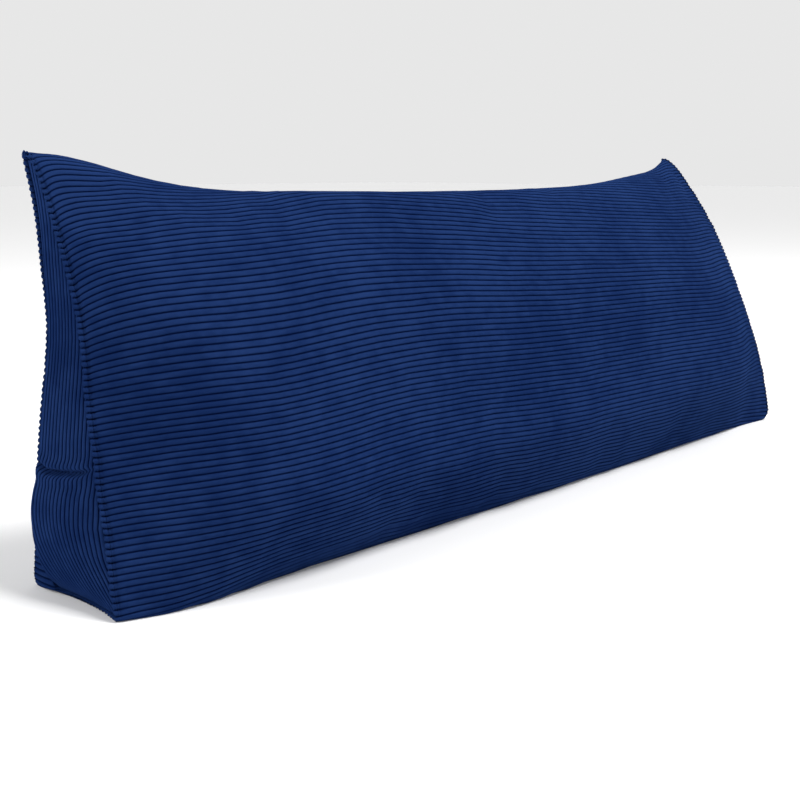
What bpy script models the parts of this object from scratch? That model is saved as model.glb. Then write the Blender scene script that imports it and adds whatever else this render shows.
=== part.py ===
"""Backrest pillow: a long corduroy wedge that stands on its narrow base.

The wrap panel and its stuffing are one filled solid. It is lofted through cross-sections along
the length, and the wales of its corduroy are raised on it. A triangular panel of the same cloth
lies in a shallow bed at each end, inside the turned-in edge of the wrap.

Metres. X runs along the length, -Y is the leaning front and +Z is up. The origin is the middle
of the face that the pillow rests on.
"""
import math

import bmesh
import bpy
import numpy as np

# Driving dimensions
LENGTH = 1.486           # from end to end at the bottom corners
WALE = 0.0073            # one wale of the corduroy with its groove
END_WALE = 0.0061        # and on the end panels, where the cloth is drawn together
GROOVE = 0.0011          # depth of the groove between two wales
FRONT_WALES = 75         # wales up the front, from the bottom corner to the ear
HIDDEN_WALES = 95        # wales down the back and under the base
CLOTH = 0.0021           # thickness of an end panel
CLEARANCE = 0.0007       # between an end panel and its bed
TURNED_EDGE = 0.0014     # edge of the wrap that shows round an end panel
SEAM_REACH = 0.16        # length over which the pull of an end seam fades
FADE_HEIGHT = 0.008      # height over which the wales rise from the pressed base

# Cross-sections, in millimetres, one row for each share of the length. The front is at heel,
# low (45 up), belly (34 % of the top), middle (64 %), high (45 below the top) and ridge. The back
# is at shoulder (80 %), waist (45 %), hip (10 %) and rest. fold is how far the ridge rolls over
# to the back, and tuck is how far the first wale lies above the front edge of the base.
SECTION_COLUMNS = ("share", "heel", "low", "belly", "middle", "high", "ridge", "top",
                   "shoulder", "waist", "hip", "rest", "fold", "tuck")
SECTION_ROWS = (
    (0.00, -81, -62, -5, 22, 83, 118, 507, 112, 92, 91, 91, 100, 4),
    (0.04, -99, -101, -68, -34, 73, 122, 503, 130, 119, 108, 90, 220, 9),
    (0.12, -100, -126, -133, -79, 19, 100, 475, 137, 143, 120, 86, 360, 26),
    (0.26, -95, -125, -139, -92, -17, 44, 459, 118, 152, 126, 82, 400, 38),
    (0.50, -97, -124, -138, -92, -18, 39, 455, 112, 155, 128, 80, 400, 23),
    (0.74, -90, -114, -134, -79, 1, 55, 465, 120, 152, 126, 82, 400, 13),
    (0.88, -85, -106, -124, -57, 33, 100, 479, 138, 145, 122, 88, 360, 7),
    (0.96, -84, -92, -77, -24, 75, 134, 492, 142, 132, 116, 94, 220, -4),
    (1.00, -89, -85, -52, 8, 94, 146, 504, 138, 118, 106, 96, 100, -10),
)

# How far each end seam is drawn in, in millimetres, by the share of the height
DRAW_COLUMNS = ("height", "left", "right")
DRAW_ROWS = (
    (0.00, 0, 0),
    (0.15, 3, 3),
    (0.30, 9, 10),
    (0.45, 23, 22),
    (0.60, 38, 31),
    (0.75, 40, 35),
    (0.90, 39, 38),
    (1.00, 31, 40),
)

BASE_BOW = 0.009         # and by this much more at the middle of the base
BASE_BOW_HEIGHT = 0.03   # a bow that fades over this height
HALF_BASE = 0.088        # half the depth of the base

# How far each end panel swells past its seam, in millimetres, by the height. The left one has a
# crease across it, where it folds in above the stuffed foot.
SWELL_COLUMNS = ("height", "left", "right")
SWELL_ROWS = (
    (0, 16, 16),
    (40, 23, 19),
    (85, 22, 19),
    (135, 8, 15),
    (180, 10, 12),
    (280, 8, 9),
    (400, 5, 5),
    (510, 2, 2),
)
SWELL_EDGE = 0.040       # distance from the seam over which a panel swells
SHORTEST_WALE = 0.004    # the panel's front corner is cut square this far from its point
BLUNT_EAR = 0.006        # and its upper corner this far below the fold
FRONT_OUT = (-0.93, 0.37)  # direction in Y and Z that points squarely out of the front seam
EDGE_DEPTH = 1.5         # the bed is deeper by this many clearances along its edge

# Shares of the way up the front, and down the back, at which the columns above are measured
FRONT_SHARES = (0.0, 0.07, 0.28, 0.54, 0.86, 1.0)
BACK_SHARES = (0.0, 0.22, 0.55, 0.88, 1.0)
FRONT_ROLL = 0.17        # how strongly the front rolls in under its belly
RIDGE_ROLL = 0.40        # how strongly the front rolls over at the ridge
REST_ROLL = 0.22         # how strongly the back rolls in to the base
LOW = 0.045              # height of low, and depth of high below the top
MM = 0.001

# Fineness of the meshes
STATIONS = (0, 0.012, 0.035, 0.07, 0.12, 0.19, 0.28, 0.39, 0.5, 0.62, 0.74, 0.83, 0.9, 0.95,
            0.983, 1)
CURVE_STEPS = 240
BASE_STRIDE = 10         # on the flat base one column of points in ten is enough
PANEL_ROWS = 12
ROW_CROWDING = 1.4       # above 1 the rows of a panel crowd towards its stuffed foot
TANGENT_STEP = 0.002

NAVY = (0.0125, 0.030, 0.105, 1.0)
NAVY_ENDS = (0.0115, 0.028, 0.098, 1.0)
PILE_ROUGHNESS = 0.92


def clear_scene():
    for item in list(bpy.data.objects):
        bpy.data.objects.remove(item, do_unlink=True)


def corduroy(name, color):
    """Matt cloth with a soft sheen."""
    material = bpy.data.materials.new(name)
    material.use_nodes = True
    shader = material.node_tree.nodes["Principled BSDF"]
    shader.inputs["Base Color"].default_value = color
    shader.inputs["Roughness"].default_value = PILE_ROUGHNESS
    shader.inputs["Metallic"].default_value = 0.0
    shader.inputs["Sheen Weight"].default_value = 0.4
    return material


def spline(knots, values, at, start=None, end=None):
    """Cubic spline through values at knots. Without an end slope it is natural there."""
    knots = np.asarray(knots, float)
    values = np.asarray(values, float)
    step = np.diff(knots)
    slope = np.diff(values) / step
    count = len(knots)
    system = np.eye(count)
    right = np.zeros(count)
    for i in range(1, count - 1):
        system[i, i - 1:i + 2] = step[i - 1] / 6, (step[i - 1] + step[i]) / 3, step[i] / 6
        right[i] = slope[i] - slope[i - 1]
    if start is not None:
        system[0, :2] = step[0] / 3, step[0] / 6
        right[0] = slope[0] - start
    if end is not None:
        system[-1, -2:] = step[-1] / 6, step[-1] / 3
        right[-1] = end - slope[-1]
    bend = np.linalg.solve(system, right)
    at = np.asarray(at, float)
    i = np.clip(np.searchsorted(knots, at) - 1, 0, count - 2)
    before = (knots[i + 1] - at) / step[i]
    after = (at - knots[i]) / step[i]
    curve = before * values[i] + after * values[i + 1]
    pull = (before ** 3 - before) * bend[i] + (after ** 3 - after) * bend[i + 1]
    return curve + pull * step[i] ** 2 / 6


def table_value(columns, rows, name, at):
    """Smooth value of one named column of a table in millimetres, in metres."""
    column = columns.index(name)
    return spline([row[0] for row in rows], [row[column] * MM for row in rows], at)


def section_outline(share):
    """Front and back of one cross-section, as (y, z) points from heel to ridge to rest."""
    size = {name: float(table_value(SECTION_COLUMNS, SECTION_ROWS, name, share))
            for name in SECTION_COLUMNS[1:]}
    top = size["top"]
    t = np.linspace(0, 1, CURVE_STEPS)
    front_y = [size[name] for name in ("heel", "low", "belly", "middle", "high", "ridge")]
    front_z = (0, LOW, 0.34 * top, 0.64 * top, top - LOW, top)
    back_y = [size[name] for name in ("ridge", "shoulder", "waist", "hip", "rest")]
    back_z = (top, 0.80 * top, 0.45 * top, 0.10 * top, 0)
    front = np.stack([spline(FRONT_SHARES, front_y, t, -FRONT_ROLL, RIDGE_ROLL),
                      spline(FRONT_SHARES, front_z, t, 0, 0)], 1)
    back = np.stack([spline(BACK_SHARES, back_y, t, size["fold"], -REST_ROLL),
                     spline(BACK_SHARES, back_z, t, 0, 0)], 1)
    return front, back, size


def loop_point(loop, run, place):
    """Points at given distances round a closed loop whose corners lie at the distances run."""
    place = place % run[-1]
    return np.stack([np.interp(place, run, loop[:, axis]) for axis in (0, 1)], 1)


def wale_points(share):
    """Points round one cross-section, two for each wale: its crest and then its groove."""
    front, back, size = section_outline(share)
    loop = np.concatenate([front, back[1:], front[:1]])
    run = np.concatenate([[0], np.cumsum(np.linalg.norm(np.diff(loop, axis=0), axis=1))])
    seen = size["tuck"] + 0.5 * WALE * np.arange(2 * FRONT_WALES)
    ear = size["tuck"] + WALE * FRONT_WALES
    hidden = np.linspace(ear, size["tuck"] + run[-1], 2 * HIDDEN_WALES, endpoint=False)
    place = np.concatenate([seen, hidden])
    points = loop_point(loop, run, place)
    along = loop_point(loop, run, place + TANGENT_STEP) - loop_point(loop, run, place - TANGENT_STEP)
    along /= np.linalg.norm(along, axis=1)[:, None]
    inward = np.stack([along[:, 1], -along[:, 0]], 1)
    fade = np.clip(points[:, 1] / FADE_HEIGHT, 0, 1)
    sunk = GROOVE * fade * (np.arange(len(points)) % 2)
    return points + inward * sunk[:, None], size["top"]


def seam_x(side, y, z, top):
    """X of the surface that an end seam lies in. side is -1 at the left and 1 at the right."""
    name = "left" if side < 0 else "right"
    drawn = table_value(DRAW_COLUMNS, DRAW_ROWS, name, np.clip(z / top, 0, 1))
    across = np.clip(1 - (y / HALF_BASE) ** 2, 0, 1)
    return side * (LENGTH / 2 - drawn - BASE_BOW * across * np.exp(-z / BASE_BOW_HEIGHT))


def wrap_rings():
    """The lofted rings of the wrap, each an array of (x, y, z) points."""
    rings = []
    for share in STATIONS:
        points, top = wale_points(share)
        x = np.full(len(points), LENGTH * (share - 0.5))
        for side, distance in ((-1, share * LENGTH), (1, (1 - share) * LENGTH)):
            drawn = seam_x(side, points[:, 0], points[:, 1], top) - side * LENGTH / 2
            x += drawn * math.exp(-distance / SEAM_REACH)
        rings.append(np.column_stack([x, points]))
    rings = np.array(rings)
    pressed = (rings[:, :, 2] < 1e-6).all(axis=0)
    kept = ~pressed | (np.arange(rings.shape[1]) % BASE_STRIDE == 0)
    return rings[:, kept]


def end_grid(side, depth):
    """Grid of points over one end panel, by column from back to front and row from foot to ear.

    It lies depth under the panel's face. Its columns follow the crests of the upright wales.
    """
    inset = TURNED_EDGE + CLEARANCE
    front, back, size = section_outline(0.0 if side < 0 else 1.0)
    z = np.linspace(inset, size["top"] - BLUNT_EAR, 500)
    edges = []
    for outline, inward in ((front, 1), (back[::-1], -1)):
        y = np.interp(z, outline[:, 1], outline[:, 0])
        lean = np.clip(np.gradient(y, z), -3, 3)
        edges.append(y + inward * inset * np.sqrt(1 + lean ** 2))
    front_y, back_y = edges
    width = back_y - front_y
    widest = int(np.argmax(width[:60]))
    wales = np.arange(int((width[widest] - SHORTEST_WALE) / END_WALE) + 1)
    feet = np.interp(wales * END_WALE, width[:widest + 1], z[:widest + 1])
    ears = np.interp(-wales * END_WALE, -width[widest:], z[widest:])
    name = "left" if side < 0 else "right"
    grid = []
    for offset, foot, ear in zip(wales * END_WALE, feet, ears):
        height = foot + (ear - foot) * np.linspace(0, 1, PANEL_ROWS + 1) ** ROW_CROWDING
        y = np.interp(height, z, back_y) - offset
        ahead = y - np.interp(height, z, front_y)
        swell = table_value(SWELL_COLUMNS, SWELL_ROWS, name, height / MM)
        for distance in (offset, ahead, height - inset):
            swell = swell * (1 - (1 - np.clip(distance / SWELL_EDGE, 0, 1)) ** 2)
        x = seam_x(side, y, height, size["top"]) + side * (swell - depth)
        grid.append(np.column_stack([x, y, height]))
    return np.array(grid)


def ribbed_grid(side):
    """The face of an end panel, with a sunk column between each two crests."""
    crests = end_grid(side, 0.0)
    grooves = (crests[:-1] + crests[1:]) / 2 - (side * GROOVE, 0, 0)
    grid = np.empty((2 * len(crests) - 1,) + crests.shape[1:])
    grid[0::2] = crests
    grid[1::2] = grooves
    return grid


def bed_grid(side):
    """The grid of the bed under an end panel, grown by the clearance on every side."""
    grid = end_grid(side, CLOTH + CLEARANCE)
    deeper = -side * EDGE_DEPTH * CLEARANCE
    out_front = np.array((deeper, FRONT_OUT[0] * CLEARANCE, FRONT_OUT[1] * CLEARANCE))
    grid[0] += (deeper, CLEARANCE, 0)
    grid[-1] += (deeper, -CLEARANCE, 0)
    grid[:, 0] += (deeper, 0, -CLEARANCE)
    grid[1:, -1] += out_front
    grid[0, -1] += (deeper, 0, CLEARANCE)
    return grid


def add_grid(mesh, grid):
    """Faces of a grid. It gives the vertices round its edge, from the front of the foot up."""
    verts = [[mesh.verts.new(point) for point in column] for column in grid]
    for here, there in zip(verts, verts[1:]):
        for row in range(len(here) - 1):
            mesh.faces.new((here[row], there[row], there[row + 1]))
            mesh.faces.new((here[row], there[row + 1], here[row + 1]))
    up_front = verts[-1][:-1]
    over_front = [column[-1] for column in reversed(verts)][:-1]
    down_back = verts[0][::-1][:-1]
    along_foot = [column[0] for column in verts][:-1]
    return up_front + over_front + down_back + along_foot


def zip_loops(mesh, first, second):
    """Triangles between two closed loops that lie close together and run the same way."""
    start = min(range(len(second)), key=lambda k: (second[k].co - first[0].co).length)
    first = first + first[:1]
    second = second[start:] + second[:start + 1]
    i = j = 0
    while i < len(first) - 1 or j < len(second) - 1:
        a, b = first[i], second[j]
        ahead_a = (first[i + 1].co - b.co).length if i < len(first) - 1 else math.inf
        ahead_b = (second[j + 1].co - a.co).length if j < len(second) - 1 else math.inf
        if ahead_a <= ahead_b:
            i += 1
            mesh.faces.new((a, first[i], b))
        else:
            j += 1
            mesh.faces.new((a, second[j], b))


def finish(mesh, name, material, collection):
    """Closed mesh with its faces pointing out, as a named object in the collection."""
    bmesh.ops.recalc_face_normals(mesh, faces=mesh.faces)
    if mesh.calc_volume(signed=True) < 0:
        bmesh.ops.reverse_faces(mesh, faces=mesh.faces)
    bmesh.ops.triangulate(mesh, faces=mesh.faces)
    data = bpy.data.meshes.new(name)
    mesh.to_mesh(data)
    mesh.free()
    data.materials.append(material)
    data.shade_smooth()
    data.set_sharp_from_angle(angle=math.radians(50))
    item = bpy.data.objects.new(name, data)
    collection.objects.link(item)
    return item


def filled_body(collection):
    """The wrap panel with its stuffing, and a shallow bed for the panel at each end."""
    mesh = bmesh.new()
    rings = [[mesh.verts.new(point) for point in ring] for ring in wrap_rings()]
    for here, there in zip(rings, rings[1:]):
        for i in range(len(here)):
            k = (i + 1) % len(here)
            mesh.faces.new((here[i], there[i], there[k], here[k]))
    for side, ring in ((-1, rings[0]), (1, rings[-1])):
        bed = add_grid(mesh, bed_grid(side))
        ear_height = max(vert.co.z for vert in ring)
        rim = []
        for vert in bed:
            seam = seam_x(side, vert.co.y, vert.co.z, ear_height)
            rim.append(mesh.verts.new((seam, vert.co.y, vert.co.z)))
        for i in range(len(bed)):
            k = (i + 1) % len(bed)
            mesh.faces.new((bed[i], bed[k], rim[k], rim[i]))
        zip_loops(mesh, ring, rim)
    return finish(mesh, "filled_body", corduroy("navy corduroy wrap", NAVY), collection)


def end_panel(name, side, collection):
    """One triangular panel of cloth, its wales upright."""
    mesh = bmesh.new()
    face = add_grid(mesh, ribbed_grid(side))
    underside = add_grid(mesh, end_grid(side, CLOTH))
    zip_loops(mesh, face, underside)
    return finish(mesh, name, corduroy("navy corduroy " + name, NAVY_ENDS), collection)


def build():
    clear_scene()
    collection = bpy.data.collections.new("backrest_pillow")
    bpy.context.scene.collection.children.link(collection)
    filled_body(collection)
    end_panel("end_panel_left", -1, collection)
    end_panel("end_panel_right", 1, collection)


build()
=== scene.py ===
import math

import bmesh
import bpy
import numpy as np
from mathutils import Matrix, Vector, noise


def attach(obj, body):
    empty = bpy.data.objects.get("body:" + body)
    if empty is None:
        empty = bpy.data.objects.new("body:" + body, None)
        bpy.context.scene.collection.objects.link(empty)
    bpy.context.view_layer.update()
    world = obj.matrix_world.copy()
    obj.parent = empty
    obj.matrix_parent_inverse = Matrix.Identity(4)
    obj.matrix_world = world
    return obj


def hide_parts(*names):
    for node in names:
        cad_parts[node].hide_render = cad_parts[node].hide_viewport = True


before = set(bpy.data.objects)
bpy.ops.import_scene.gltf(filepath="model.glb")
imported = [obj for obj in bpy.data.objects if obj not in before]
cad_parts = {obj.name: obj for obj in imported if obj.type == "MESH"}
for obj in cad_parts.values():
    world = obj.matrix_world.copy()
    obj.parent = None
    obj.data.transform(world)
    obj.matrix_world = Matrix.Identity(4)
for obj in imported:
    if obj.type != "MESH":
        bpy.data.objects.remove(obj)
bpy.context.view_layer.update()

# A backrest pillow in navy corduroy: a long wedge that stands on its narrow base. One wrap panel
# runs over the front, the back and the base, and a triangular panel closes each end.
# Metres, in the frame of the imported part: X along the length, -Y the leaning front, +Z up.

mm = 0.001
pillow = {
    "length": 1.486,          # from end to end at the bottom corners
    "wale": 0.0073,           # one wale of the corduroy with its groove
    "frontWales": 75,         # wales up the front, from the bottom corner to the ear
    "hiddenWales": 95,        # wales down the back and under the base
    "seamReach": 0.16,        # length over which the pull of an end seam fades
    "baseBow": 0.009,         # how much further the end seams are drawn in under the base
    "baseBowHeight": 0.03,
    "halfBase": 0.088,
    "frontRoll": 0.17,        # how strongly the front rolls in under its belly
    "ridgeRoll": 0.40,        # and over at the ridge
    "restRoll": 0.22,         # how strongly the back rolls in to the base
    "low": 0.045,             # height of the low column, and depth of the high one
    "frontHeights": (0.34, 0.64),         # of the belly and middle columns, in shares of the top
    "backHeights": (0.80, 0.45, 0.10),    # of the shoulder, waist and hip columns
    "curveSteps": 900,
}

# Cross-sections in millimetres, one row for each share of the length
sectionColumns = ("share", "heel", "low", "belly", "middle", "high", "ridge", "top",
                  "shoulder", "waist", "hip", "rest", "fold", "tuck")
sectionRows = (
    (0.00, -81, -62, -5, 22, 83, 118, 507, 112, 92, 91, 91, 100, 4),
    (0.04, -99, -101, -68, -34, 73, 122, 503, 130, 119, 108, 90, 220, 9),
    (0.12, -100, -126, -133, -79, 19, 100, 475, 137, 143, 120, 86, 360, 26),
    (0.26, -95, -125, -139, -92, -17, 44, 459, 118, 152, 126, 82, 400, 38),
    (0.50, -97, -124, -138, -92, -18, 39, 455, 112, 155, 128, 80, 400, 23),
    (0.74, -90, -114, -134, -79, 1, 55, 465, 120, 152, 126, 82, 400, 13),
    (0.88, -85, -106, -124, -57, 33, 100, 479, 138, 145, 122, 88, 360, 7),
    (0.96, -84, -92, -77, -24, 75, 134, 492, 142, 132, 116, 94, 220, -4),
    (1.00, -89, -85, -52, 8, 94, 146, 507, 138, 118, 106, 96, 100, -10),
)
# How far each end seam is drawn in, in millimetres, by the share of the height
drawColumns = ("height", "left", "right")
drawRows = ((0.00, 0, 0), (0.15, 3, 3), (0.30, 9, 9), (0.45, 23, 17), (0.60, 38, 26),
            (0.75, 40, 32), (0.90, 39, 38), (1.00, 31, 46))
# Where the columns lie along the curves of the front and of the back
frontShares = (0.0, 0.07, 0.28, 0.54, 0.86, 1.0)
backShares = (0.0, 0.22, 0.55, 0.88, 1.0)
# The left front seam: how much further forward, and how much further drawn in, it runs (mm)
seamForm = {
    "height": (0, 0.030, 0.060, 0.097, 0.130, 0.170, 0.213, 0.254, 0.310, 0.345, 0.425, 0.465,
               0.507),        # in metres
    "forward": (0, 2, 7, 12, 13, 14, 8, 2, -4, -6, -6, -3, 0),
    "drawn": (0, 2, 6, 10, 11, 12, 8, 3, -2, -4, -4, -2, 0),
    "ahead": (0.09, -0.03),   # y between which it sets in
    "fade": 0.05,             # length over which the front returns to its own form
}
# The front corner at the right is rounded at the floor
farCorner = {
    "drawn": 0.018,
    "below": 0.024,
    "ahead": (0.02, -0.06),   # y between which it sets in
}


def smoothStep(low, high, value):
    t = np.clip((value - low) / (high - low), 0, 1)
    return t * t * (3 - 2 * t)


def spline(knots, values, at, start=None, end=None):
    # Cubic spline through values at knots. Without an end slope it is natural there
    knots, values, at = (np.asarray(item, float) for item in (knots, values, at))
    step = np.diff(knots)
    slope = np.diff(values) / step
    count = len(knots)
    system, right = np.eye(count), np.zeros(count)
    for i in range(1, count - 1):
        system[i, i - 1:i + 2] = step[i - 1] / 6, (step[i - 1] + step[i]) / 3, step[i] / 6
        right[i] = slope[i] - slope[i - 1]
    if start is not None:
        system[0, :2] = step[0] / 3, step[0] / 6
        right[0] = slope[0] - start
    if end is not None:
        system[-1, -2:] = step[-1] / 6, step[-1] / 3
        right[-1] = end - slope[-1]
    bend = np.linalg.solve(system, right)
    i = np.clip(np.searchsorted(knots, at) - 1, 0, count - 2)
    before = (knots[i + 1] - at) / step[i]
    after = (at - knots[i]) / step[i]
    pull = (before ** 3 - before) * bend[i] + (after ** 3 - after) * bend[i + 1]
    return before * values[i] + after * values[i + 1] + pull * step[i] ** 2 / 6


def tableValue(columns, rows, name, at):
    column = columns.index(name)
    return spline([row[0] for row in rows], [row[column] * mm for row in rows], at)


def seamShift(name, z):
    return np.interp(z, seamForm["height"], np.array(seamForm[name]) * mm)


def sectionOutline(share):
    # Front and back of one cross-section, as (y, z) points from heel to ridge to rest
    size = {name: float(tableValue(sectionColumns, sectionRows, name, share))
            for name in sectionColumns[1:]}
    top, low = size["top"], pillow["low"]
    t = np.linspace(0, 1, pillow["curveSteps"])
    frontY = [size[name] for name in ("heel", "low", "belly", "middle", "high", "ridge")]
    frontZ = [0, low] + [part * top for part in pillow["frontHeights"]] + [top - low, top]
    backY = [size[name] for name in ("ridge", "shoulder", "waist", "hip", "rest")]
    backZ = [top] + [part * top for part in pillow["backHeights"]] + [0]
    front = np.stack([spline(frontShares, frontY, t, -pillow["frontRoll"], pillow["ridgeRoll"]),
                      spline(frontShares, frontZ, t, 0, 0)], 1)
    near = math.exp(-share * pillow["length"] / seamForm["fade"])
    front[:, 0] -= near * seamShift("forward", front[:, 1])
    back = np.stack([spline(backShares, backY, t, size["fold"], -pillow["restRoll"]),
                     spline(backShares, backZ, t, 0, 0)], 1)
    return front, back, size


def seamX(side, y, z, top):
    # X of the surface that an end seam lies in. side is -1 at the left and 1 at the right
    name = "left" if side < 0 else "right"
    drawn = tableValue(drawColumns, drawRows, name, np.clip(z / top, 0, 1))
    across = np.clip(1 - (y / pillow["halfBase"]) ** 2, 0, 1)
    bow = pillow["baseBow"] * across * np.exp(-z / pillow["baseBowHeight"])
    if side < 0:
        bow = bow + seamShift("drawn", z) * smoothStep(*seamForm["ahead"], y)
    else:
        low = np.clip(1 - z / farCorner["below"], 0, 1)
        bow = bow + farCorner["drawn"] * low ** 2 * smoothStep(*farCorner["ahead"], y)
    return side * (pillow["length"] / 2 - drawn - bow)


def softNoise(u, v, seed):
    # Smooth noise from -1 to 1 over two arrays of coordinates
    u, v = np.broadcast_arrays(u, v)
    flat = [noise.noise(Vector((a, b, seed * 7.31))) for a, b in zip(u.ravel(), v.ravel())]
    return np.array(flat).reshape(u.shape)


class Socket:
    # A node socket that takes part in plain arithmetic, in a shader or in Geometry Nodes
    def __init__(self, tree, link):
        self.tree, self.link = tree, link

    def node(self, kind, settings=None, inputs=None, output=0):
        made = self.tree.nodes.new(kind)
        for name, value in (settings or {}).items():
            setattr(made, name, value)
        for name, value in (inputs or {}).items():
            if isinstance(value, Socket):
                self.tree.links.new(value.link, made.inputs[name])
            else:
                made.inputs[name].default_value = value
        return Socket(self.tree, made.outputs[output] if len(made.outputs) else None)

    def maths(self, operation, *others):
        return self.node("ShaderNodeMath", {"operation": operation},
                         dict(enumerate((self,) + others)))

    def __add__(self, other):
        return self.maths("ADD", other)

    def __sub__(self, other):
        return self.maths("SUBTRACT", other)

    def __rsub__(self, other):
        return self * -1 + other

    def __mul__(self, other):
        return self.maths("MULTIPLY", other)

    def __pow__(self, other):
        return self.maths("POWER", other)

    __radd__ = __add__
    __rmul__ = __mul__

    def ramp(self, low, high):
        # 0 below low, 1 above high and smooth in between
        return self.node("ShaderNodeMapRange", {"interpolation_type": "SMOOTHSTEP"},
                         {"Value": self, "From Min": low, "From Max": high})

    def mixed(self, first, second):
        # first where this is 0 and second where it is 1, as colours
        return self.node("ShaderNodeMix", {"data_type": "RGBA"}, {0: self, 6: first, 7: second}, 2)


# Corduroy: the finish of every piece
corduroyCloth = {
    "pile": (0.0088, 0.0250, 0.0980, 1),        # colour on the crest of a wale
    "worn": (0.0125, 0.0330, 0.1200, 1),        # where the pile lies the other way
    "shade": (0.0058, 0.0180, 0.0780, 1),       # where it stands open
    "groundInPaintedShade": (0.0009, 0.0052, 0.0340, 1),      # the bare ground in a groove, darkened further as painted shade
    "sheenTint": (0.30, 0.50, 1.0, 1),
    "sheen": 0.035,
    "sheenRoughness": 0.38,
    "bump": 0.35,
    "bumpDepth": 0.0012,
    "roughness": (0.96, 0.88),     # where the pile stands open and where it is brushed
    "broad": 5.5,                  # brushed areas to the metre
    "patches": 38.0,               # and smaller ones
    "streaks": (42.0, 0.9),        # along a wale, to the metre, and from wale to wale
    "grain": 1400.0,               # the pile itself
    "brushing": (0.45, 0.30, 0.25),      # shares of broad areas, patches and streaks
    "brushedFrom": (0.38, 0.62),   # noise between which the pile is open and brushed
    "pileFrom": (0.3, 0.7),        # and between which the grain takes on the pile's colour
    "pileShare": 0.35,
    "tufts": (0.7, 0.3),           # shares of grain and streaks in the bump
    "grooveShadeFrom": (0.50, 0.97),    # from crest to groove, where the painted shade over the ground begins
    # how far the grooves take on the darker colour: painted shade, partly the ground's own tone
    "paintedShadeShare": 0.93,
}


def corduroy(name, settings):
    # Short dense pile in wales. The UV map holds metres along a wale, and the wale's number
    material = bpy.data.materials.new(name)
    material.use_nodes = True
    tree = material.node_tree
    tree.nodes.clear()
    start = Socket(tree, None)
    place = start.node("ShaderNodeTexCoord", output="Object")
    cloth = start.node("ShaderNodeUVMap", {"uv_map": "cloth"})
    along = cloth.node("ShaderNodeSeparateXYZ", inputs={0: cloth})
    number = Socket(tree, along.link.node.outputs[1])
    away = (number + 0.5).maths("FRACT").maths("SUBTRACT", 0.5).maths("ABSOLUTE") * 2
    # Painted shade: a mask that darkens each groove, beyond the shading of the raised wales
    # themselves
    grooveShade = away.ramp(*settings["grooveShadeFrom"])

    broad = place.node("ShaderNodeTexNoise", inputs={
        "Vector": place, "Scale": settings["broad"], "Detail": 2.0})
    patches = place.node("ShaderNodeTexNoise", inputs={
        "Vector": place, "Scale": settings["patches"], "Detail": 3.0, "Roughness": 0.6})
    lengthwise, crosswise = settings["streaks"]
    streakPlace = place.node("ShaderNodeCombineXYZ", inputs={
        0: along * lengthwise, 1: number * crosswise, 2: 3.0})
    streaks = place.node("ShaderNodeTexNoise", inputs={
        "Vector": streakPlace, "Scale": 1.0, "Detail": 2.5, "Roughness": 0.65})
    grain = place.node("ShaderNodeTexNoise", inputs={
        "Vector": place, "Scale": settings["grain"], "Detail": 2.0, "Roughness": 0.7})

    ofBroad, ofPatches, ofStreaks = settings["brushing"]
    brushed = (broad * ofBroad + patches * ofPatches + streaks * ofStreaks).ramp(
        *settings["brushedFrom"])
    color = brushed.mixed(settings["shade"], settings["worn"])
    color = (grain.ramp(*settings["pileFrom"]) * settings["pileShare"]).mixed(
        color, settings["pile"])
    # Painted shade in the grooves, partly the bare ground's own darker colour
    color = (grooveShade * settings["paintedShadeShare"]).mixed(color, settings["groundInPaintedShade"])
    fine, coarse = settings["tufts"]
    tufts = grain * fine + streaks * coarse
    bump = place.node("ShaderNodeBump", inputs={
        "Strength": settings["bump"], "Distance": settings["bumpDepth"], "Height": tufts})
    standing, lying = settings["roughness"]
    shader = place.node("ShaderNodeBsdfPrincipled", inputs={
        "Base Color": color, "Roughness": standing - brushed * (standing - lying), "Normal": bump,
        "Sheen Weight": settings["sheen"], "Sheen Roughness": settings["sheenRoughness"],
        "Sheen Tint": settings["sheenTint"], "Specular IOR Level": 0.0})
    shader.node("ShaderNodeOutputMaterial", inputs={"Surface": shader})
    return material


# Wales: how the cloth stands up from the surface that it is sewn into
waleRelief = {
    "Depth": 0.0023,          # from a crest to the bottom of its groove
    "Lift": 0.0004,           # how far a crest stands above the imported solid
    "Roundness": 2.3,         # higher is flatter on top, with a narrower groove
    "Unevenness": 0.0003,     # of the pile, along a wale
    "Fineness": 75.0,         # patches of it to the metre
    "Seed": 4.0,
}


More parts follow.
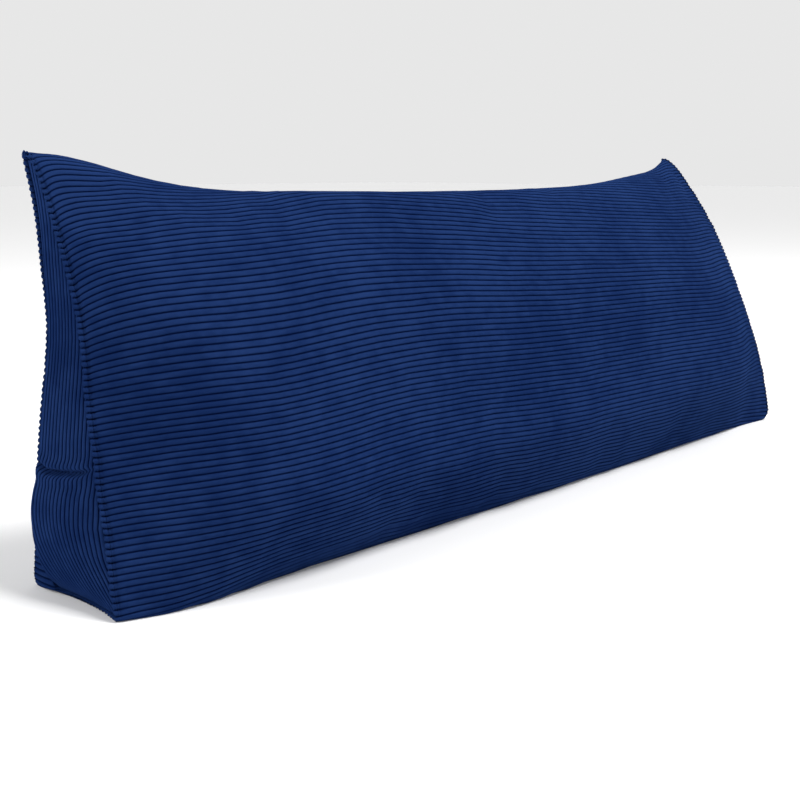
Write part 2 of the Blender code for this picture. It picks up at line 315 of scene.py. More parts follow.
def waleTree():
    # Geometry Nodes: raises round wales along the normals, from the wale's number at each point
    tree = bpy.data.node_groups.new("raised wales", "GeometryNodeTree")
    tree.interface.new_socket("Geometry", in_out="INPUT", socket_type="NodeSocketGeometry")
    for name in waleRelief:
        tree.interface.new_socket(name, in_out="INPUT", socket_type="NodeSocketFloat")
    tree.interface.new_socket("Cloth", in_out="INPUT", socket_type="NodeSocketMaterial")
    tree.interface.new_socket("Geometry", in_out="OUTPUT", socket_type="NodeSocketGeometry")
    start = Socket(tree, None)
    entry = start.node("NodeGroupInput", output="Geometry").link.node
    value = {name: Socket(tree, entry.outputs[name]) for name in waleRelief}

    def attribute(name):
        return start.node("GeometryNodeInputNamedAttribute", {"data_type": "FLOAT"},
                          {"Name": name}, "Attribute")

    number, raised, bead = attribute("wale"), attribute("raised"), attribute("bead")
    away = (number + 0.5).maths("FRACT").maths("SUBTRACT", 0.5).maths("ABSOLUTE") * 2
    rib = (1 - away ** value["Roundness"]).maths("MAXIMUM", 0.0) ** 0.5
    patches = start.node("ShaderNodeTexNoise", {"noise_dimensions": "4D"}, {
        "Vector": start.node("GeometryNodeInputPosition"), "W": value["Seed"],
        "Scale": value["Fineness"], "Detail": 2.0})
    height = (rib - 1) * value["Depth"] * raised
    height = height + value["Lift"] * bead + (patches - 0.5) * value["Unevenness"] * raised
    normal = start.node("GeometryNodeInputNormal")
    offset = start.node("ShaderNodeVectorMath", {"operation": "SCALE"},
                        {0: normal, "Scale": height})
    moved = start.node("GeometryNodeSetPosition", inputs={
        "Geometry": Socket(tree, entry.outputs["Geometry"]), "Offset": offset})
    smooth = start.node("GeometryNodeSetShadeSmooth", inputs={"Geometry": moved})
    real = start.node("GeometryNodeRealizeInstances", inputs={"Geometry": smooth})
    painted = start.node("GeometryNodeSetMaterial", inputs={
        "Geometry": real, "Material": Socket(tree, entry.outputs["Cloth"])})
    painted.node("NodeGroupOutput", inputs={"Geometry": painted})
    return tree


def raiseWales(piece, tree, material, changes=None):
    # Runs the tree on a piece and leaves a plain mesh
    modifier = piece.modifiers.new("raised wales", "NODES")
    modifier.node_group = tree
    values = dict(waleRelief, **(changes or {}), Cloth=material)
    for item in tree.interface.items_tree:
        if item.in_out == "INPUT" and item.name in values:
            modifier[item.identifier] = values[item.name]
    view = bpy.context.evaluated_depsgraph_get()
    plain = bpy.data.meshes.new_from_object(piece.evaluated_get(view), depsgraph=view)
    piece.modifiers.remove(modifier)
    plain.name = piece.name
    piece.data = plain
    return piece


def gridQuads(numbers):
    # Faces between neighbouring rows of a grid of point numbers
    corners = (numbers[:-1, :-1], numbers[1:, :-1], numbers[1:, 1:], numbers[:-1, 1:])
    return np.stack(corners, -1).reshape(-1, 4).tolist()


def zipLoops(points, faces, first, second):
    # Triangles between two closed loops of point numbers that lie close together
    gap = np.linalg.norm(points[second] - points[first[0]], axis=1)
    start = int(np.argmin(gap))
    first = list(first) + [first[0]]
    second = list(second[start:]) + list(second[:start + 1])
    i = j = 0
    while i < len(first) - 1 or j < len(second) - 1:
        a, b = first[i], second[j]
        aheadA = aheadB = math.inf
        if i < len(first) - 1:
            aheadA = np.linalg.norm(points[first[i + 1]] - points[b])
        if j < len(second) - 1:
            aheadB = np.linalg.norm(points[second[j + 1]] - points[a])
        if aheadA <= aheadB:
            i += 1
            faces.append((a, first[i], b))
        else:
            j += 1
            faces.append((a, second[j], b))


def mergedGrid(points, order):
    # Joins equal points of a grid and leaves out the faces that this closes up
    first, same = np.unique(np.round(points, 7), axis=0, return_index=True,
                            return_inverse=True)[1:]
    faces = []
    for quad in gridQuads(same.ravel()[order]):
        corners = [a for a, b in zip(quad, quad[1:] + quad[:1]) if a != b]
        if len(set(corners)) == len(corners) > 2:
            faces.append(tuple(corners))
    return points[first], faces, first


def rimLoop(faces):
    # Point numbers round the edge of an open surface, in order
    edges = {(a, b) for face in faces for a, b in zip(face, face[1:] + face[:1])}
    after = {a: b for a, b in edges if (b, a) not in edges}
    loop = [min(after)]
    while after[loop[-1]] != loop[0]:
        loop.append(after[loop[-1]])
    return loop


def loopArea(loop):
    # Signed area of a loop of points, as seen along X
    y, z = loop[:, 1], loop[:, 2]
    return 0.5 * float(np.sum(y * np.roll(z, -1) - z * np.roll(y, -1)))


def makePiece(name, points, faces, attributes, along, number, period=None):
    # A closed mesh object with its faces outwards, its attributes and its cloth coordinates
    mesh = bpy.data.meshes.new(name)
    mesh.from_pydata(points.tolist(), [], faces)
    for key, values in attributes.items():
        mesh.attributes.new(key, "FLOAT", "POINT").data.foreach_set(
            "value", np.asarray(values, np.float32))
    build = bmesh.new()
    build.from_mesh(mesh)
    bmesh.ops.recalc_face_normals(build, faces=build.faces)
    if build.calc_volume(signed=True) < 0:
        bmesh.ops.reverse_faces(build, faces=build.faces)
    build.to_mesh(mesh)
    build.free()
    corner = np.zeros(len(mesh.loops), int)
    mesh.loops.foreach_get("vertex_index", corner)
    u, v = along[corner], number[corner]
    if period:
        # A face across the loop's join keeps counting instead of starting again
        face = np.repeat(np.arange(len(mesh.polygons)),
                         np.array([item.loop_total for item in mesh.polygons]))
        highest = np.full(len(mesh.polygons), -1e9)
        np.maximum.at(highest, face, v)
        v = np.where(highest[face] - v > period / 2, v + period, v)
    layer = mesh.uv_layers.new(name="cloth")
    layer.data.foreach_set("uv", np.stack([u, v], 1).ravel().astype(np.float32))
    mesh.shade_smooth()
    piece = bpy.data.objects.new(name, mesh)
    bpy.context.scene.collection.objects.link(piece)
    return piece


# The wrap: its grid follows the wales, so that each rib keeps its shape
wrapShape = {
    "frontSteps": (0, 0.225, 0.375, 0.46, 0.5, 0.54, 0.625, 0.775),   # points across one wale
    "backSteps": (0, 0.275, 0.425, 0.5, 0.575, 0.725),
    "baseSteps": (0, 0.5),
    "ridgeWales": 84,          # up to this wale the front's fineness goes on
    "baseFrom": 147,           # from this one on the wales lie under the base
    "nearSeam": (0, 0.3, 0.6, 0.9, 1.3, 1.8, 2.5, 3.3, 4.4, 6.0, 9.0, 14, 20, 28, 38, 52, 68, 86,
                 106, 126),    # in mm
    "midStations": 34,
    "wander": 0.15,            # how far a wale strays, in wales
    "wanderScales": ((0.12, 8, 1.0), (0.04, 3, 0.6)),    # metres, wales and strength of each noise
    "undulation": 0.0022,      # soft unevenness of the stuffing
    "undulationScales": (0.23, 26, 0.10, 13),    # metres and wales of the broad and the small one
    "sewn": 0.02,              # length beside a seam where there is less of it
    "lying": (0.002, 0.012),   # heights between which the cloth leaves the flat base
    "pucker": 0.0011,          # of the cloth along an end seam
    "puckerScales": (0.05, 2.6),         # metres, wales
    "puckerReach": 0.024,
    "roll": (0.0015, 0.0, 0.0010),          # the rolled edge at a seam: height, place, width
    "notch": (-0.0020, 0.0008, 0.00045),    # the stitching that sets the wale ends apart
    "valley": (-0.0013, 0.0030, 0.0016),    # and the shallow valley behind it
    "lip": ((0.4, 0.9), (1.1, 1.6), (2.1, 1.9), (3.1, 1.7), (4.0, 0.8), (4.5, -0.4),
            (4.7, -1.8)),      # inward and out, in mm
    "lipFade": (0.1, 2.2, 1.25),         # relief of the wales on it, from first to last and at most
    "flatter": (0.55, 0.01),   # relief under the base, and the height at which it is whole
    "taller": (0.6, 0.003),    # relief added at the wale ends, and how far from the seam
    "beads": (0.8, 0.0012),    # the same for how far their crests stand out
    "bedMargin": 0.9,          # how far a bed reaches past its panel, in mm
}


def waleNumbers():
    # The numbers at which points lie round the loop, whole on a crest and half in a groove
    front, hidden = wrapShape["ridgeWales"], pillow["frontWales"] + pillow["hiddenWales"]
    parts = ((0, front, "frontSteps"), (front, wrapShape["baseFrom"], "backSteps"),
             (wrapShape["baseFrom"], hidden, "baseSteps"))
    return np.concatenate([np.add.outer(np.arange(a, b), wrapShape[key]).ravel()
                           for a, b, key in parts])


# Near the ears the wales climb away from the end seams and run out over the ridge
climb = {
    "rise": (0.036, 0.004),    # at the left and at the right end
    "change": (0.25, 0.75),    # shares of the length between which one gives way to the other
    "within": 0.035,           # share of the length
    "above": (28, 64),         # wales between which it sets in
    "until": (80, 160),        # and fades down the back
}


def ringPoints(share, numbers):
    # (y, z) where the wales with these numbers lie in one cross-section
    front, back, size = sectionOutline(share)
    loop = np.concatenate([front, back[1:], front[:1]])
    run = np.concatenate([[0], np.cumsum(np.linalg.norm(np.diff(loop, axis=0), axis=1))])
    ear = pillow["wale"] * pillow["frontWales"]
    hidden = (numbers - pillow["frontWales"]) / pillow["hiddenWales"] * (run[-1] - ear)
    place = np.where(numbers < pillow["frontWales"], numbers * pillow["wale"], ear + hidden)
    inward = 1 - math.exp(-min(share, 1 - share) / climb["within"])
    rise = np.interp(share, climb["change"], climb["rise"])
    place = place + rise * inward * smoothStep(*climb["above"], numbers) * (
        1 - smoothStep(*climb["until"], numbers))
    place = (size["tuck"] + place) % run[-1]
    return np.stack([np.interp(place, run, loop[:, axis]) for axis in (0, 1)], 1), size["top"]


def wrapGrid(shares, numbers, wander):
    # Points of the wrap, by station along the length and then round the loop
    grid = []
    for share in shares:
        x = (share - 0.5) * pillow["length"]
        stray = sum(strength * softNoise(x / reach, numbers / wales, seed + 1)
                    for seed, (reach, wales, strength) in enumerate(wrapShape["wanderScales"]))
        points, top = ringPoints(share, numbers + wander * stray)
        around = np.full(len(numbers), x)
        for side, distance in ((-1, share), (1, 1 - share)):
            drawn = seamX(side, points[:, 0], points[:, 1], top) - side * pillow["length"] / 2
            around += drawn * math.exp(-distance * pillow["length"] / pillow["seamReach"])
        grid.append(np.column_stack([around, points]))
    return np.array(grid)


def gridNormals(grid):
    # Outward normals of a wrap grid, which is closed across its second direction
    across = np.roll(grid, -1, 1) - np.roll(grid, 1, 1)
    normal = np.cross(np.gradient(grid, axis=0), across)
    normal /= np.maximum(np.linalg.norm(normal, axis=2), 1e-12)[:, :, None]
    outward = np.sign(np.sum(normal * (grid - grid.mean(1, keepdims=True))))
    return normal * outward


# Pressure that fills the wrap out and lets the cloth wrinkle beside its seams
stuffing = {
    "stations": 72,
    "loopPoints": 96,
    "slack": 0.002,            # the simulation starts from a form this much smaller
    "pressure": 0.8,
    "fullness": -0.004,        # below 0 the cloth is cut this much larger than its form
    "quality": 6,
    "mass": 0.4,
    "stretch": 25,             # stiffness of the cloth against each way to deform it
    "shear": 10,
    "bending": 3,
    "pinned": 0.004,           # up to this height the cloth is held on the floor
    "frames": 20,
    "evenings": 10,            # rounds of smoothing that give the part of a shift left out
    "lengthwise": 20,          # the same along the length only
    "most": 0.004,             # no point ends further than this from its place
}


def pressedWrap():
    # How far each point of a coarse grid moves under pressure, from Blender's Cloth
    shares = np.linspace(0, 1, stuffing["stations"])
    total = pillow["frontWales"] + pillow["hiddenWales"]
    numbers = np.arange(stuffing["loopPoints"]) * total / stuffing["loopPoints"]
    grid = wrapGrid(shares, numbers, 0)
    normals = gridNormals(grid)
    ends = np.minimum(shares, 1 - shares)[:, None] < 1e-6
    held = (grid[:, :, 2] < stuffing["pinned"]) | ends
    start = grid - normals * stuffing["slack"] * ~held[:, :, None]
    order = np.arange(grid.shape[0] * grid.shape[1]).reshape(grid.shape[:2])
    faces = gridQuads(np.column_stack([order, order[:, :1]]))
    mesh = bpy.data.meshes.new("stuffed form")
    mesh.from_pydata(start.reshape(-1, 3).tolist(), [], faces)
    form = bpy.data.objects.new("stuffedForm", mesh)
    bpy.context.scene.collection.objects.link(form)
    if np.sum(np.array([face.normal for face in mesh.polygons])
              * np.array([normals.reshape(-1, 3)[face[0]] for face in faces])) < 0:
        mesh.flip_normals()
    pins = form.vertex_groups.new(name="sewn")
    pins.add(order[held].tolist(), 1.0, "REPLACE")
    cloth = form.modifiers.new("cloth", "CLOTH")
    fabric = cloth.settings
    fabric.vertex_group_mass = "sewn"
    fabric.quality = stuffing["quality"]
    fabric.mass = stuffing["mass"]
    fabric.tension_stiffness = fabric.compression_stiffness = stuffing["stretch"]
    fabric.shear_stiffness = stuffing["shear"]
    fabric.bending_stiffness = stuffing["bending"]
    fabric.use_pressure = True
    fabric.uniform_pressure_force = stuffing["pressure"]
    fabric.shrink_min = stuffing["fullness"]
    fabric.effector_weights.gravity = 0
    cloth.collision_settings.use_collision = False
    scene = bpy.context.scene
    for number in range(1, stuffing["frames"] + 1):
        scene.frame_set(number)
    view = bpy.context.evaluated_depsgraph_get()
    moved = np.zeros(order.size * 3)
    form.evaluated_get(view).data.vertices.foreach_get("co", moved)
    scene.frame_set(1)
    bpy.data.objects.remove(form, do_unlink=True)
    shift = wrinklesOnly(moved.reshape(grid.shape) - grid) * ~held[:, :, None]
    length = np.linalg.norm(shift, axis=2, keepdims=True)
    print("wrinkles of the stuffed form:", round(float(length.mean() / mm), 2), "mm,",
          round(float(length.max() / mm), 2), "at most")
    shift *= np.minimum(1, stuffing["most"] / np.maximum(length, 1e-9))
    return shift, shares, numbers


def wrinklesOnly(shift):
    # The pillow keeps its ridge, sag and belly: only the wrinkles of the simulation are kept
    even = shift.copy()
    for turn in range(stuffing["evenings"]):
        even = 0.5 * even + 0.25 * (np.roll(even, 1, 1) + np.roll(even, -1, 1))
        even[1:-1] = 0.5 * even[1:-1] + 0.25 * (even[:-2] + even[2:])
    shift = shift - even
    even = shift.copy()
    for turn in range(stuffing["lengthwise"]):
        even[1:-1] = 0.5 * even[1:-1] + 0.25 * (even[:-2] + even[2:])
    return shift - even


def cubicWeights(at, count, closed):
    # Matrix that reads a row of evenly spaced values smoothly at fractional places
    whole = np.floor(at).astype(int)
    if not closed:
        whole = np.clip(whole, 0, count - 2)
    t = at - whole
    parts = (-0.5 * t + t ** 2 - 0.5 * t ** 3, 1 - 2.5 * t ** 2 + 1.5 * t ** 3,
             0.5 * t + 2 * t ** 2 - 1.5 * t ** 3, -0.5 * t ** 2 + 0.5 * t ** 3)
    matrix = np.zeros((len(at), count))
    for step, part in zip((-1, 0, 1, 2), parts):
        column = (whole + step) % count if closed else np.clip(whole + step, 0, count - 1)
        np.add.at(matrix, (np.arange(len(at)), column), part)
    return matrix


def insetRing(share, ring, inward):
    # The ring of an end seam, drawn in towards the middle of its panel
    front, back, size = sectionOutline(share)
    y, z = ring[:, 1], ring[:, 2]
    level = np.clip(z, inward, size["top"] - 1.3 * inward)     # the ear is narrow at its tip
    frontY = np.interp(level, front[:, 1], front[:, 0])
    backY = np.interp(level, back[::-1, 1], back[::-1, 0])
    part = np.clip((y - frontY) / (backY - frontY), 0, 1)
    margins = []
    for outline in (front, back[::-1]):
        rising = outline[:, 1] + 1e-9 * np.arange(len(outline))
        lean = np.interp(level, outline[:, 1], np.gradient(outline[:, 0], rising))
        margins.append(inward * np.sqrt(1 + np.clip(lean, -2, 2) ** 2))
    marginFront, marginBack = margins
    marginBack += cornerCut(level) * inward / (wrapShape["lip"][-1][0] * mm)
    depth = backY - frontY
    room = np.maximum(depth - marginFront - marginBack, 0.2 * depth)
    return np.column_stack([ring[:, 0], frontY + marginFront + part * room, level])


def stuffedGrid(shares, numbers, fromSeam):
    # The wrap's surface with its unevenness, its wrinkles and the rolled edge of its seams
    grid = wrapGrid(shares, numbers, wrapShape["wander"])
    normals = gridNormals(grid)
    free = smoothStep(*wrapShape["lying"], grid[:, :, 2])      # 0 where the base is pressed flat
    loose = smoothStep(0, wrapShape["sewn"], fromSeam)         # 0 where the seam holds the cloth
    shift = np.zeros(grid.shape)
    coarse, coarseShares, coarseNumbers = pressedWrap()
    alongWeights = cubicWeights(shares * (len(coarseShares) - 1), len(coarseShares), False)
    total = pillow["frontWales"] + pillow["hiddenWales"]
    roundWeights = cubicWeights(numbers / total * len(coarseNumbers), len(coarseNumbers), True)
    shift = np.einsum("ai,ijk,bj->abk", alongWeights, coarse, roundWeights)
    x, wales = grid[:, :, 0], numbers[None, :]
    broad, broadWales, small, smallWales = wrapShape["undulationScales"]
    soft = softNoise(x / broad, wales / broadWales, 11) + 0.5 * softNoise(
        x / small + wales / 40, wales / smallWales, 12)
    puckerLength, puckerWales = wrapShape["puckerScales"]
    pucker = softNoise(fromSeam / puckerLength, wales / puckerWales, 13) * np.exp(
        -fromSeam / wrapShape["puckerReach"])
    lifted = wrapShape["undulation"] * soft * loose + wrapShape["pucker"] * pucker
    for height, place, width in (wrapShape["roll"], wrapShape["notch"], wrapShape["valley"]):
        lifted = lifted + height * np.exp(-((fromSeam - place) / width) ** 2)
    grid = grid + (shift + normals * lifted[:, :, None]) * free[:, :, None]
    grid[:, :, 2] = np.maximum(grid[:, :, 2], 0)
    return grid


def turnedIn(grid, end):
    # The rings of the rounded lip in which the cloth turns in at one end, outermost first
    side = -1 if end == 0 else 1
    lip = []
    for inward, out in wrapShape["lip"]:
        ring = insetRing(0.0 if end == 0 else 1.0, grid[end], inward * mm)
        ring[:, 0] += side * out * mm
        lip.append(ring)
    return np.array(lip)


def waleHeights(z, fromSeam):
    # How strongly the tree raises the wales at each point, and how far it lifts their crests
    lipLength = len(wrapShape["lip"])
    ends = np.zeros(lipLength)
    distance = np.concatenate([ends, fromSeam[:, 0], ends])
    least, whole = wrapShape["flatter"]
    above = smoothStep(0.0, whole, z)
    first, last, most = wrapShape["lipFade"]
    fade = np.clip(np.linspace(first, last, lipLength), 0, most)[:, None]
    heights = []
    for start, key in ((least + (1 - least) * above, "taller"), (above, "beads")):
        more, reach = wrapShape[key]
        height = start * (1 + more * np.exp(-(distance / reach) ** 2))[:, None]
        height[:lipLength] *= fade
        height[-lipLength:] *= fade[::-1]
        heights.append(height.ravel())
    return heights


def makeWrap(material, tree):
    numbers = waleNumbers()
    near = np.array(wrapShape["nearSeam"]) * mm / pillow["length"]
    middle = np.linspace(near[-1], 1 - near[-1], wrapShape["midStations"])[1:-1]
    shares = np.concatenate([near, middle, 1 - near[::-1]])
    fromSeam = np.minimum(shares, 1 - shares)[:, None] * pillow["length"]
    grid = stuffedGrid(shares, numbers, fromSeam)
    whole = np.concatenate([turnedIn(grid, 0)[::-1], grid, turnedIn(grid, -1)])
    order = np.arange(whole.shape[0] * len(numbers)).reshape(whole.shape[:2])
    points = whole.reshape(-1, 3)
    faces = gridQuads(np.column_stack([order, order[:, :1]]))
    raised, bead = waleHeights(whole[:, :, 2], fromSeam)
    attributes = {"wale": np.tile(numbers, len(whole)), "raised": raised, "bead": bead}
    along = whole[:, :, 0].ravel()

    # A plain bed under each end panel closes the form
    depth = panelShape["cloth"] + panelShape["clearance"]
    for end, side in ((0, -1), (-1, 1)):
        bed, bedFaces, rim = panelSurface(side, depth, False, panelShape["bedRows"],
                                          wrapShape["bedMargin"] * mm)[:3]
        rim = np.array(rim) + len(points)
        faces.extend([tuple(np.array(face) + len(points)) for face in bedFaces])
        points = np.concatenate([points, bed])
        if loopArea(points[rim]) * loopArea(points[order[end]]) < 0:
            rim = rim[::-1]
        zipLoops(points, faces, list(order[end]), rim)
        plain = np.zeros(len(bed))
        attributes = {key: np.concatenate([value, plain]) for key, value in attributes.items()}
        along = np.concatenate([along, bed[:, 2]])
    piece = makePiece("corduroyWrap", points, faces, attributes, along, attributes["wale"],
                      pillow["frontWales"] + pillow["hiddenWales"])
    return raiseWales(piece, tree, material)


# End panels: a sheet of the same cloth whose wales stand upright
panelShape = {
    "cloth": 0.0021,           # thickness
    "clearance": 0.0007,       # between the cloth and the bed under it
    "waleDepth": 0.0019,
    "waleLift": 0.4,           # how far its crests rise, as a share of the wrap's
    "inset": 0.0050,           # from the outline of the wrap
    "dip": 0.0020,             # how deep its edge lies in the seam
    "dipReach": 0.0040,
    "steps": (0, 0.225, 0.375, 0.46, 0.5, 0.54, 0.625, 0.775),
    "rows": 150,
    "bedRows": 60,
    "tallest": (0.52, 2000),   # height in which the rows are spread, and steps to do it in
    "crowdFoot": (1.4, 0.08, 0.20),      # more rows from the floor up to between these heights
    "crowdCrease": (2.2, 0.153, 0.014),  # and round this height, within this reach
    "across": 260,             # places across a row at which the wales are counted
    "swellBack": 0.014,        # distance from each seam over which a panel swells
    "swellFront": 0.075,
    "swellFoot": 0.020,
    "fullness": 2.2,           # higher swells sooner behind a seam
    "bluntEar": 0.010,
    "pucker": 0.0007,
    "puckerScales": (0.016, 0.03),       # along the seam and away from it
    "puckerReach": 0.020,
    "puckerFrom": 0.004,       # it is whole this far from the seam
    "sewn": 0.012,             # length beside a seam where the wales are held
    "wander": 0.0006,          # how far a wale strays sideways
    "wanderScales": (0.05, 4),           # metres, wales
}
# How far the panels swell by their height, in millimetres
swellColumns = ("height", "left", "right")
swellRows = ((0, 5, 8), (30, 11, 13), (60, 14, 16), (90, 18, 17), (120, 17, 15), (145, 11, 12),
             (180, 8, 9), (280, 8, 8), (400, 5, 5), (510, 2, 2))
# Width of one wale in mm by height in metres: the cloth is drawn together towards the ear
panelWale = ((0.0, 8.6), (0.03, 8.0), (0.06, 7.2), (0.095, 6.3), (0.125, 5.9), (0.185, 5.7),
             (0.254, 5.8), (0.51, 5.8))
# Near the foot the wales are drawn forward
panelSweep = {"wales": 8.0, "below": 0.085, "power": 1.5, "backShare": 0.35}
# and the wrap turns round the back corner
panelCorner = {"cut": 0.042, "below": 0.062, "power": 1.6}
# The crease across the left panel: its height at places from front to back, in metres
crease = {
    "line": ((-0.06, 0.168), (-0.032, 0.163), (-0.014, 0.157), (0.0, 0.153), (0.02, 0.149),
             (0.053, 0.147), (0.067, 0.151), (0.079, 0.158), (0.10, 0.165)),
    "depth": 0.0068,
    "width": 0.0024,
    "deepBack": (0.02, 0.07, 0.7),   # between these places it gets deeper by this share
    "waver": (0.0012, 0.012),  # how far its line strays, and over what length
    "lobes": ((0.28, 3.0, 2.2), (0.35, -3.4, 2.4)),   # depth, place and width of each side's bulge
    "kink": 0.0022,            # how far the wales step sideways in it
    "kinkForm": (-0.4, 1.7),   # place and width of the step, in widths of the crease
    "fade": (-0.022, 0.014),   # it starts between these places
    "edge": 0.005,             # and runs out this far from the seams
}


def cornerCut(z):
    ahead = np.clip(1 - (z - panelShape["inset"]) / panelCorner["below"], 0, 1)
    return panelCorner["cut"] * ahead ** panelCorner["power"]


def rowHeights(foot, ear, count):
    # Heights from foot to ear that crowd towards the stuffed foot and the crease
    tallest, steps = panelShape["tallest"]
    z = np.linspace(0, tallest, steps)
    more, low, high = panelShape["crowdFoot"]
    crowd = 1 + more * (1 - smoothStep(low, high, z))
    more, middle, reach = panelShape["crowdCrease"]
    crowd = crowd + more * np.exp(-((z - middle) / reach) ** 2)
    total = np.concatenate([[0], np.cumsum(crowd[1:])])
    ends = np.interp((foot, ear), z, total)
    return np.interp(np.linspace(*ends, count), total, z)


def creaseRelief(y, z):
    # How far the crease moves the cloth outwards, and its wales forward
    lines = np.array(crease["line"])
    stray, length = crease["waver"]
    above = z - np.interp(y, lines[:, 0], lines[:, 1]) + stray * softNoise(y / length, 0.0, 21)
    low, high, more = crease["deepBack"]
    strength = smoothStep(*crease["fade"], y)
    above = above / crease["width"]
    out = -np.exp(-above ** 2) * (1 + more * smoothStep(low, high, y))
    for depth, place, width in crease["lobes"]:
        out = out + depth * np.exp(-((above - place) / width) ** 2)
    place, width = crease["kinkForm"]
    side = np.exp(-((above - place) / width) ** 2)
    return crease["depth"] * out * strength, crease["kink"] * side * strength


def panelRows(side, rowCount, grow):
    # Height of each row across a panel, y of its front and back edge, and the ear's height
    inset = panelShape["inset"] - grow
    front, back, size = sectionOutline(0.0 if side < 0 else 1.0)
    z = rowHeights(inset, size["top"] - panelShape["bluntEar"] + grow, rowCount)
    edges = []
    for outline, inward in ((front, 1), (back[::-1], -1)):
        y = np.interp(z, outline[:, 1], outline[:, 0])
        lean = np.clip(np.gradient(y, z), -2, 2)
        edges.append(y + inward * inset * np.sqrt(1 + lean ** 2))
    frontY, backY = edges
    return z, frontY, backY - cornerCut(z) * (1 - grow / panelShape["inset"]), size["top"]


def panelWales(z, width, steps):
    # Where the wales lie in each row, as shares of its width from the back, and their numbers
    spacing = np.interp(z, [row[0] for row in panelWale], [row[1] * mm for row in panelWale])
    drawn = panelSweep["wales"] * np.clip(1 - z / panelSweep["below"], 0, 1) ** panelSweep["power"]
    part = np.linspace(0, 1, panelShape["across"])
    ahead = (part + panelSweep["backShare"]) * (1 - part)
    counted = np.outer(width / spacing, part) - np.outer(drawn, ahead)
    lowest, highest = math.floor(counted.min()), math.ceil(counted.max())
    numbers = np.add.outer(np.arange(lowest, highest), steps).ravel()
    share = np.array([np.interp(numbers, row, part) for row in counted])
    return share, np.array([np.clip(numbers, row[0], row[-1]) for row in counted])


def panelSurface(side, depth, fine, rowCount, grow=0.0):
    # One end panel's surface: points, faces, the loop of its edge and the wale at each point
    shape = panelShape
    z, frontY, backY, top = panelRows(side, rowCount, grow)
    width = backY - frontY
    share, number = panelWales(z, width, shape["steps"] if fine else (0,))
    height = np.repeat(z[:, None], share.shape[1], 1)
    y = backY[:, None] - share * width[:, None]
    behind, ahead = share * width[:, None], (1 - share) * width[:, None]
    aboveFoot = height - z[0]
    swell = tableValue(swellColumns, swellRows, "left" if side < 0 else "right", height / mm)
    for distance, edge in ((behind, "swellBack"), (ahead, "swellFront"), (aboveFoot, "swellFoot")):
        swell = swell * (1 - (1 - np.clip(distance / shape[edge], 0, 1)) ** shape["fullness"])
    nearest = np.minimum(np.minimum(behind, ahead), aboveFoot)
    swell = swell - shape["dip"] * (1 - smoothStep(0, shape["dipReach"], nearest))
    # The pucker runs along both seams, with other noise at the front than at the back
    edgeRun = np.where(behind < ahead, height, height + 0.7)
    alongSeam, fromSeam = shape["puckerScales"]
    pucker = softNoise(edgeRun / alongSeam, nearest / fromSeam, 31 + side)
    swell = swell + shape["pucker"] * pucker * (
        np.exp(-nearest / shape["puckerReach"]) * smoothStep(0, shape["puckerFrom"], nearest))
    loose = smoothStep(0, shape["sewn"], nearest)
    if side < 0:
        out, forward = creaseRelief(y, height)
        swell = swell + out * smoothStep(0, crease["edge"], nearest)
        y = y - forward * loose
    reach, wales = shape["wanderScales"]
    y = y + shape["wander"] * loose * softNoise(height / reach, number / wales, 33 + side)
    x = seamX(side, y, height, top) + side * (swell - depth)
    points = np.stack([x, y, height], -1).reshape(-1, 3)
    order = np.arange(len(points)).reshape(height.shape)
    points, faces, first = mergedGrid(points, order)
    return points, faces, rimLoop(faces), number.ravel()[first]


def makePanel(name, side, material, tree):
    face, faces, rim, number = panelSurface(side, 0.0, True, panelShape["rows"])
    count = len(face)
    under = face - np.array([side * panelShape["cloth"], 0, 0])
    points = np.concatenate([face, under])
    sides = [(here, there, there + count, here + count)
             for here, there in zip(rim, rim[1:] + rim[:1])]
    faces = faces + [tuple(a + count for a in reversed(item)) for item in faces] + sides
    up = np.concatenate([np.ones(count), np.zeros(count)])
    number = np.tile(number, 2)
    attributes = {"wale": number, "raised": up, "bead": up * panelShape["waleLift"]}
    piece = makePiece(name, points, faces, attributes, points[:, 2], number)
    return raiseWales(piece, tree, material, {"Depth": panelShape["waleDepth"]})


def triangleCount(piece):
    return sum(len(face.vertices) - 2 for face in piece.data.polygons)


tree = waleTree()
cloth = corduroy("navy corduroy", corduroyCloth)
wrap = makeWrap(cloth, tree)
print("wrap made:", triangleCount(wrap), "triangles")
leftPanel = makePanel("endPanelLeft", -1, cloth, tree)
rightPanel = makePanel("endPanelRight", 1, cloth, tree)
print("end panels made:", triangleCount(leftPanel), "and",
      triangleCount(rightPanel), "triangles")

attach(wrap, "root")
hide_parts("filled_body")
for panel, node in ((leftPanel, "end_panel_left"), (rightPanel, "end_panel_right")):
    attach(panel, "root")
    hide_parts(node)

# Studio: a pale floor, even light from all round and two large soft lamps
studio = {
    "floorSize": 60.0,
    "floorDrop": 0.0003,       # keeps the floor just clear of the base
    "floor": (0.86, 0.86, 0.86, 1),
    "floorRoughness": 0.9,
    "floorGlow": (0.09, 0.40),           # near the pillow and far off, where floor and sky meet
    "glowFrom": (1.0, 3.6),    # metres from the pillow between which it rises
    "sky": (1.0, 1.0, 1.0, 1),
    "skyStrength": 0.80,
    "dimSky": 0.0,             # the ceiling on one side, which leaves the left end darker
    "dimSide": (-0.74, -0.64, 0.20),     # towards its middle
    "dimWithin": (-0.1, 0.6),  # cosine of the angle from there, from bright to dim
    "dimAbove": (0.12, 0.30),  # and sine of the height
    "lamps": (   # place, aim, size, watts
        ((0.9, -2.0, 4.3), (0.0, 0.0, 0.25), 1.8, 230),
        ((-3.0, 0.9, 1.9), (-0.7, 0.0, 0.2), 1.2, 50),
    ),
}
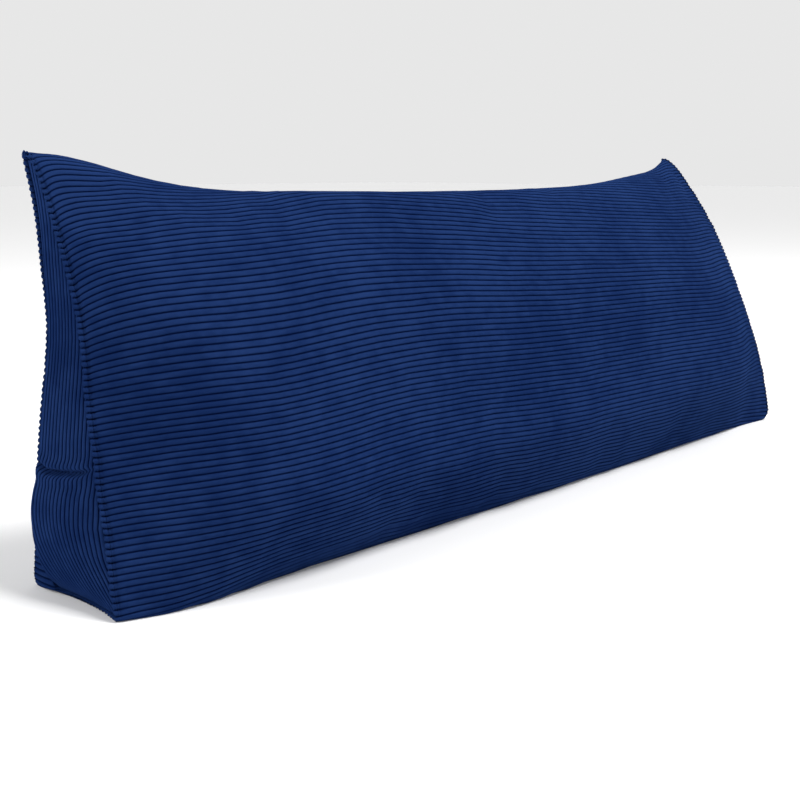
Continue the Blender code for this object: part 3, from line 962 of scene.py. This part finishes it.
camera = {
    "place": (-1.387, -1.138, 0.4875),
    "yaw": 0.8010,            # radians round from +Y towards +X
    "pitch": 0.1933,          # radians down
    "focal": 1160.7,          # pixels, for a picture 800 wide
    "shift": (-0.0009, -0.0047),
    "picture": 800,
    "sensor": 36.0,
    "reach": 100,
}


def addFloor():
    half = studio["floorSize"] / 2
    mesh = bpy.data.meshes.new("floor")
    mesh.from_pydata([(-half, -half, 0), (half, -half, 0), (half, half, 0), (-half, half, 0)],
                     [], [(0, 1, 2, 3)])
    floor = bpy.data.objects.new("floor", mesh)
    floor.location.z = -studio["floorDrop"]
    bpy.context.scene.collection.objects.link(floor)
    paint = bpy.data.materials.new("pale floor")
    paint.use_nodes = True
    shader = paint.node_tree.nodes["Principled BSDF"]
    shader.inputs["Base Color"].default_value = studio["floor"]
    shader.inputs["Roughness"].default_value = studio["floorRoughness"]
    near, far = studio["floorGlow"]
    place = Socket(paint.node_tree, None).node("ShaderNodeTexCoord", output="Object")
    away = place.node("ShaderNodeVectorMath", {"operation": "LENGTH"}, {0: place}, "Value")
    glow = away.ramp(*studio["glowFrom"]) * (far - near) + near
    paint.node_tree.links.new(glow.link, shader.inputs["Emission Color"])
    shader.inputs["Emission Strength"].default_value = 1.0
    mesh.materials.append(paint)


def addLight():
    world = bpy.data.worlds.new("studio")
    world.use_nodes = True
    direction = Socket(world.node_tree, None).node("ShaderNodeTexCoord", output="Generated")
    towards = direction.node("ShaderNodeVectorMath", {"operation": "DOT_PRODUCT"},
                             {0: direction, 1: studio["dimSide"]}, "Value")
    height = direction.node("ShaderNodeSeparateXYZ", inputs={0: direction}, output=2)
    dim = towards.ramp(*studio["dimWithin"]) * height.ramp(*studio["dimAbove"])
    strength = dim * (studio["dimSky"] - studio["skyStrength"]) + studio["skyStrength"]
    sky = world.node_tree.nodes["Background"]
    sky.inputs["Color"].default_value = studio["sky"]
    world.node_tree.links.new(strength.link, sky.inputs["Strength"])
    bpy.context.scene.world = world
    for number, (place, aim, size, watts) in enumerate(studio["lamps"]):
        light = bpy.data.lights.new(f"lamp{number}", "AREA")
        light.size, light.energy = size, watts
        lamp = bpy.data.objects.new(f"lamp{number}", light)
        lamp.location = place
        lamp.rotation_euler = (Vector(aim) - Vector(place)).to_track_quat("-Z", "Y").to_euler()
        bpy.context.scene.collection.objects.link(lamp)


def addCamera():
    lens = bpy.data.cameras.new("camera")
    lens.sensor_width = camera["sensor"]
    lens.lens = camera["sensor"] * camera["focal"] / camera["picture"]
    lens.shift_x, lens.shift_y = camera["shift"]
    lens.clip_end = camera["reach"]
    item = bpy.data.objects.new("camera", lens)
    item.location = camera["place"]
    item.rotation_euler = (math.pi / 2 - camera["pitch"], 0, -camera["yaw"])
    bpy.context.scene.collection.objects.link(item)
    bpy.context.scene.camera = item


addFloor()
addLight()
addCamera()
bpy.context.scene.view_settings.view_transform = "Standard"
print("studio ready")
